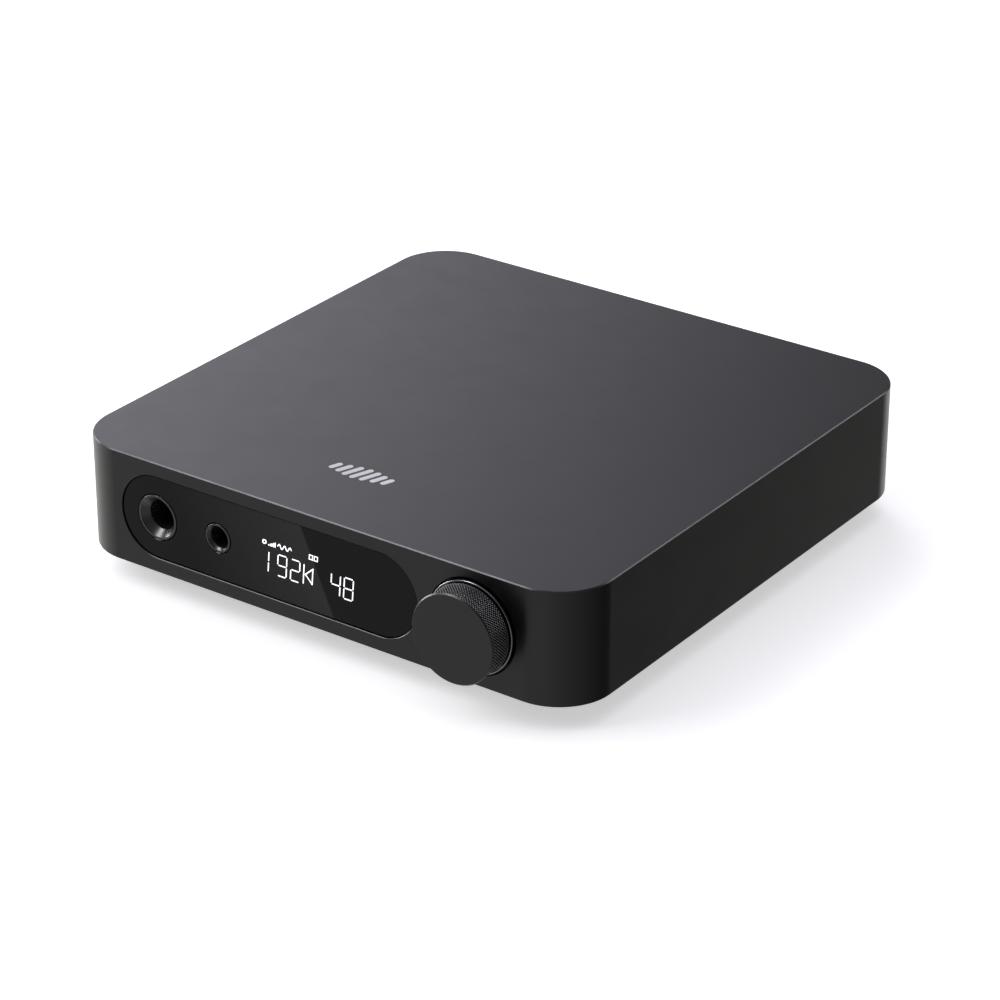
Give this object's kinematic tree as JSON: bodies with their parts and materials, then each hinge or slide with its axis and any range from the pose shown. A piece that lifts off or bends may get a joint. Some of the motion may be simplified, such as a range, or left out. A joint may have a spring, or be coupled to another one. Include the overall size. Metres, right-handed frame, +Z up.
{
  "type": "desktop dac",
  "caption": "Low square desktop DAC and headphone amplifier with rounded corners, pill-shaped front window with jacks and display, and a knurled volume knob.",
  "frame": {"origin": "on the table, under the middle of the whole object", "axes": "+Z up, -Y out of the front with the knob and jacks, +X to the right seen from the front"},
  "size_m": [0.133, 0.147, 0.0323],
  "materials": {
    "dark_anodised": "satin anodised",
    "knob_anodised": "satin anodised, knurled band",
    "black_gloss": "glossy",
    "black_plastic": "moulded",
    "grey_plastic": "moulded",
    "rubber": "matt",
    "steel": "plated",
    "black_steel": "powder coated",
    "gold": "gold plated",
    "copper_film": "polyimide film",
    "green_board": "solder mask",
    "black_board": "solder mask",
    "chip": "moulded",
    "display_glass": "glass faced module",
    "white_core": "moulded",
    "red_core": "moulded",
    "orange_core": "moulded",
    "aluminium_can": "satin"
  },
  "bodies": {
    "enclosure": {"body_shell": "dark_anodised", "front_window": "black_gloss", "display_frame": "black_plastic", "jack_635_housing": "black_plastic", "jack_44_housing": "black_plastic", "board_header": "black_plastic", "output_relay": "black_plastic", "line_out_housing": "black_plastic", "coax_housing": "black_plastic", "optical_housing": "black_plastic", "usb_c_tongue": "black_plastic", "dc_jack_housing": "black_plastic", "encoder_housing": "grey_plastic", "foot_front_left": "rubber", "foot_front_right": "rubber", "foot_rear_left": "rubber", "foot_rear_right": "rubber", "board_screw_1": "steel", "board_screw_2": "steel", "board_screw_3": "steel", "board_screw_4": "steel", "switch_dome": "steel", "encoder_nut": "steel", "clock_oscillator": "steel", "usb_c_shell": "steel", "dc_jack_pin": "steel", "bottom_cover": "black_steel", "rear_panel": "black_steel", "cover_screw_front_left": "black_steel", "cover_screw_front_right": "black_steel", "cover_screw_rear_left": "black_steel", "cover_screw_rear_right": "black_steel", "rear_screw_left": "black_steel", "rear_screw_right": "black_steel", "jack_635_tip_spring": "gold", "jack_635_sleeve_spring": "gold", "jack_44_contact_spring": "gold", "rca_left_shell": "gold", "rca_right_shell": "gold", "coax_shell": "gold", "display_ribbon": "copper_film", "main_board": "green_board", "front_board": "green_board", "ladder_board": "black_board", "usb_chip": "chip", "logic_chip": "chip", "amp_chip_left": "chip", "amp_chip_right": "chip", "power_inductor": "chip", "display_panel": "display_glass", "rca_left_core": "white_core", "rca_right_core": "red_core", "coax_core": "orange_core", "filter_capacitor_1": "aluminium_can", "filter_capacitor_2": "aluminium_can"},
    "rotor": {"encoder_rotor": "black_plastic"},
    "knob": {"volume_knob": "knob_anodised", "knob_insert": "grey_plastic", "encoder_shaft": "steel"},
    "flap": {"optical_shutter": "grey_plastic"}
  },
  "joints": [
    {"name": "knob_turn", "type": "hinge", "parent": "enclosure", "child": "rotor", "pos_m": [0.0411, -0.06665, 0.0192], "axis": [0, 1, 0], "continuous": true},
    {"name": "knob_press", "type": "slide", "parent": "rotor", "child": "knob", "axis": [0, 1, 0], "range_m": [0, 0.0005], "stiffness_N_per_m": 3000, "springref_m": -0.0007},
    {"name": "flap_swing", "type": "hinge", "parent": "enclosure", "child": "flap", "pos_m": [-0.004, 0.06605, 0.02125], "axis": [1, 0, 0], "range_deg": [-80, 0], "stiffness_Nm_per_rad": 0.0004, "springref_deg": 28.65}
  ]
}
